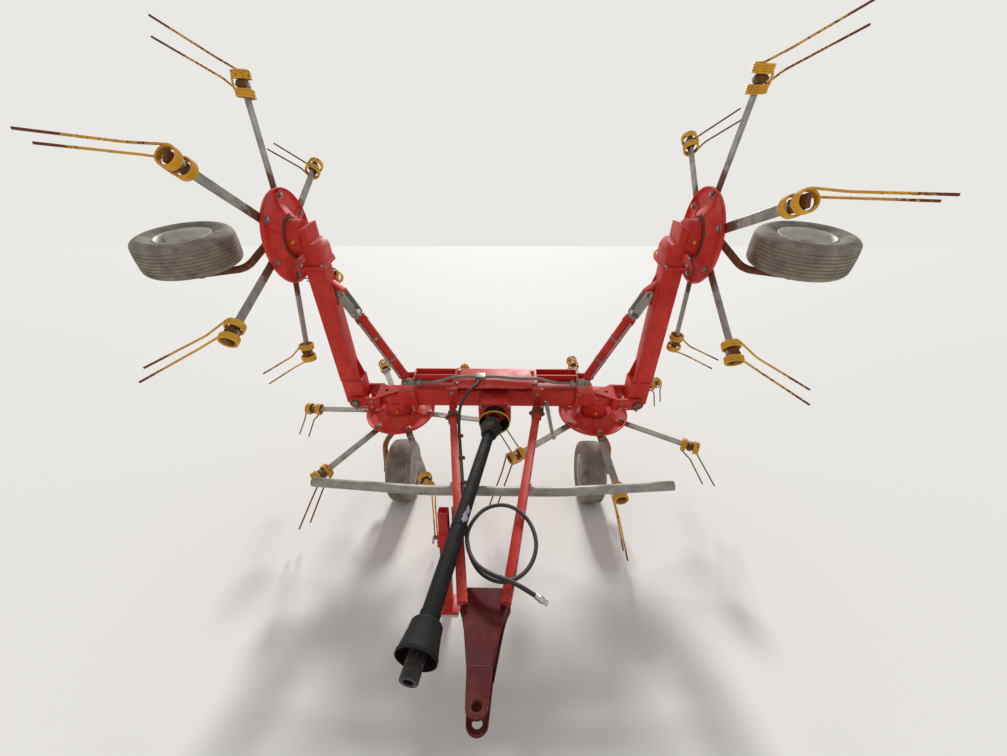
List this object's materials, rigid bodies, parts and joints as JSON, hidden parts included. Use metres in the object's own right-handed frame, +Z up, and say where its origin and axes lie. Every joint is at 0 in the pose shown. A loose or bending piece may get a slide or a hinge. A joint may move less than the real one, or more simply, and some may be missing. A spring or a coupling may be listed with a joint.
{
  "type": "rotary hay tedder",
  "caption": "Trailed hay tedder with driven tine rotors on a folding wing frame, support wheels under the rotors, a long drawbar and a guarded drive shaft.",
  "frame": {"origin": "centre of the footprint on the ground, below the middle of the machine", "axes": "+X across the machine to the right seen from the hitch, +Y to the rear, +Z up"},
  "size_m": [3.1458, 2.5737, 2.508],
  "materials": {
    "red_paint": "satin",
    "dark_red_paint": "satin",
    "grey_arm": "matte",
    "yellow_tine": "satin",
    "tyre": "matte",
    "pale_rim": "satin",
    "leg_rust": "matte",
    "grey_tube": "satin",
    "bright_rod": "polished",
    "grey_plate": "satin",
    "shaft_black": "matte",
    "bell_yellow": "matte",
    "hose_rubber": "matte",
    "coupler_steel": "satin"
  },
  "bodies": {
    "chassis": {"main_beam": "red_paint", "upper_cross_member": "red_paint", "headstock": "red_paint", "centre_gearbox": "red_paint", "input_bell": "bell_yellow", "drawbar_rail_left": "red_paint", "drawbar_rail_right": "red_paint", "rail_clevises": "leg_rust", "tongue": "dark_red_paint", "front_guard": "grey_tube", "stand_bracket": "red_paint", "gearbox_inner_left": "red_paint", "gearbox_inner_right": "red_paint", "wheel_leg_inner_left": "leg_rust", "wheel_leg_inner_right": "leg_rust", "hinge_block_left": "red_paint", "hinge_block_right": "red_paint", "hose_block": "coupler_steel", "hose_line": "hose_rubber", "lift_hose_left": "hose_rubber", "lift_hose_right": "hose_rubber", "hose_loop": "hose_rubber", "hose_coupler": "coupler_steel"},
    "wing_left": {"wing_beam_left": "red_paint", "gearbox_wing_left": "red_paint", "wheel_leg_wing_left": "leg_rust"},
    "lift_barrel_left": {"lift_barrel_left": "red_paint"},
    "lift_rod_left": {"lift_rod_left": "bright_rod"},
    "lift_link_left": {"lift_link_left": "grey_plate"},
    "rotor_inner_left": {"disc_inner_left": "red_paint", "arms_inner_left": "grey_arm", "tines_inner_left": "yellow_tine"},
    "wheel_inner_left": {"tyre_inner_left": "tyre", "rim_inner_left": "pale_rim"},
    "rotor_wing_left": {"disc_wing_left": "red_paint", "arms_wing_left": "grey_arm", "tines_wing_left": "yellow_tine"},
    "wheel_wing_left": {"tyre_wing_left": "tyre", "rim_wing_left": "pale_rim"},
    "wing_right": {"wing_beam_right": "red_paint", "gearbox_wing_right": "red_paint", "wheel_leg_wing_right": "leg_rust"},
    "lift_barrel_right": {"lift_barrel_right": "red_paint"},
    "lift_rod_right": {"lift_rod_right": "bright_rod"},
    "lift_link_right": {"lift_link_right": "grey_plate"},
    "rotor_inner_right": {"disc_inner_right": "red_paint", "arms_inner_right": "grey_arm", "tines_inner_right": "yellow_tine"},
    "wheel_inner_right": {"tyre_inner_right": "tyre", "rim_inner_right": "pale_rim"},
    "rotor_wing_right": {"disc_wing_right": "red_paint", "arms_wing_right": "grey_arm", "tines_wing_right": "yellow_tine"},
    "wheel_wing_right": {"tyre_wing_right": "tyre", "rim_wing_right": "pale_rim"},
    "stand": {"stand_leg": "red_paint"},
    "shaft_rear": {"shaft_rear": "shaft_black"},
    "shaft_front": {"shaft_front": "shaft_black"}
  },
  "joints": [
    {"name": "wing_left_fold", "type": "hinge", "parent": "chassis", "child": "wing_left", "pos_m": [-0.871, 0.35339, 0.7332], "axis": [0, -0.9511, -0.309], "range_deg": [0, 90]},
    {"name": "lift_barrel_left_swing", "type": "hinge", "parent": "chassis", "child": "lift_barrel_left", "pos_m": [-0.55, 0.31229, 0.85969], "axis": [0, -0.9511, -0.309], "range_deg": [0, 69.72]},
    {"name": "lift_rod_left_slide", "type": "slide", "parent": "lift_barrel_left", "child": "lift_rod_left", "axis": [-0.4121, -0.2816, 0.8665], "range_m": [0, 0.4004]},
    {"name": "lift_link_left_swing", "type": "hinge", "parent": "wing_left", "child": "lift_link_left", "pos_m": [-0.811, 0.13399, 1.40845], "axis": [0, -0.9511, -0.309], "range_deg": [-20.3, 0]},
    {"name": "rotor_inner_left_spin", "type": "hinge", "parent": "chassis", "child": "rotor_inner_left", "pos_m": [-0.625, 0.405, 0.57437], "axis": [0, -0.309, 0.9511], "continuous": true},
    {"name": "wheel_inner_left_spin", "type": "hinge", "parent": "chassis", "child": "wheel_inner_left", "pos_m": [-0.625, 0.3364, 0.203], "axis": [1, 0, 0], "continuous": true},
    {"name": "rotor_wing_left_spin", "type": "hinge", "parent": "wing_left", "child": "rotor_wing_left", "pos_m": [-1.038, 0.04314, 1.68806], "axis": [1, 0, 0], "continuous": true},
    {"name": "wheel_wing_left_spin", "type": "hinge", "parent": "wing_left", "child": "wheel_wing_left", "pos_m": [-1.37, -0.12805, 1.63244], "axis": [0, 0.309, -0.9511], "continuous": true},
    {"name": "wing_right_fold", "type": "hinge", "parent": "chassis", "child": "wing_right", "pos_m": [0.871, 0.35339, 0.7332], "axis": [0, 0.9511, 0.309], "range_deg": [0, 90]},
    {"name": "lift_barrel_right_swing", "type": "hinge", "parent": "chassis", "child": "lift_barrel_right", "pos_m": [0.55, 0.31229, 0.85969], "axis": [0, 0.9511, 0.309], "range_deg": [0, 69.72]},
    {"name": "lift_rod_right_slide", "type": "slide", "parent": "lift_barrel_right", "child": "lift_rod_right", "axis": [0.4121, -0.2816, 0.8665], "range_m": [0, 0.4004]},
    {"name": "lift_link_right_swing", "type": "hinge", "parent": "wing_right", "child": "lift_link_right", "pos_m": [0.811, 0.13399, 1.40845], "axis": [0, 0.9511, 0.309], "range_deg": [-20.3, 0]},
    {"name": "rotor_inner_right_spin", "type": "hinge", "parent": "chassis", "child": "rotor_inner_right", "pos_m": [0.625, 0.405, 0.57437], "axis": [0, -0.309, 0.9511], "continuous": true},
    {"name": "wheel_inner_right_spin", "type": "hinge", "parent": "chassis", "child": "wheel_inner_right", "pos_m": [0.625, 0.3364, 0.203], "axis": [1, 0, 0], "continuous": true},
    {"name": "rotor_wing_right_spin", "type": "hinge", "parent": "wing_right", "child": "rotor_wing_right", "pos_m": [1.038, 0.04314, 1.68806], "axis": [-1, 0, 0], "continuous": true},
    {"name": "wheel_wing_right_spin", "type": "hinge", "parent": "wing_right", "child": "wheel_wing_right", "pos_m": [1.37, -0.12805, 1.63244], "axis": [0, -0.309, 0.9511], "continuous": true},
    {"name": "stand_slide", "type": "slide", "parent": "chassis", "child": "stand", "axis": [0, 0, 1], "range_m": [0, 0.3]},
    {"name": "shaft_lift", "type": "hinge", "parent": "chassis", "child": "shaft_rear", "pos_m": [0, 0.12574, 0.69603], "axis": [-1, 0, 0], "range_deg": [0, 20]},
    {"name": "shaft_telescope", "type": "slide", "parent": "shaft_rear", "child": "shaft_front", "axis": [-0.1459, -0.9745, -0.1705], "range_m": [-0.2, 0.15]}
  ],
  "couplings": [
    {"joint": "lift_barrel_left_swing", "follows": "wing_left_fold", "ratio": 0.77457},
    {"joint": "lift_rod_left_slide", "follows": "wing_left_fold", "m_per_rad": 0.25484},
    {"joint": "lift_link_left_swing", "follows": "wing_left_fold", "ratio": -0.22543},
    {"joint": "lift_barrel_right_swing", "follows": "wing_right_fold", "ratio": 0.77457},
    {"joint": "lift_rod_right_slide", "follows": "wing_right_fold", "m_per_rad": 0.25484},
    {"joint": "lift_link_right_swing", "follows": "wing_right_fold", "ratio": -0.22543},
    {"joint": "rotor_inner_right_spin", "follows": "rotor_inner_left_spin", "ratio": -1},
    {"joint": "rotor_wing_left_spin", "follows": "rotor_inner_left_spin", "ratio": -1},
    {"joint": "rotor_wing_right_spin", "follows": "rotor_inner_left_spin", "ratio": 1}
  ]
}
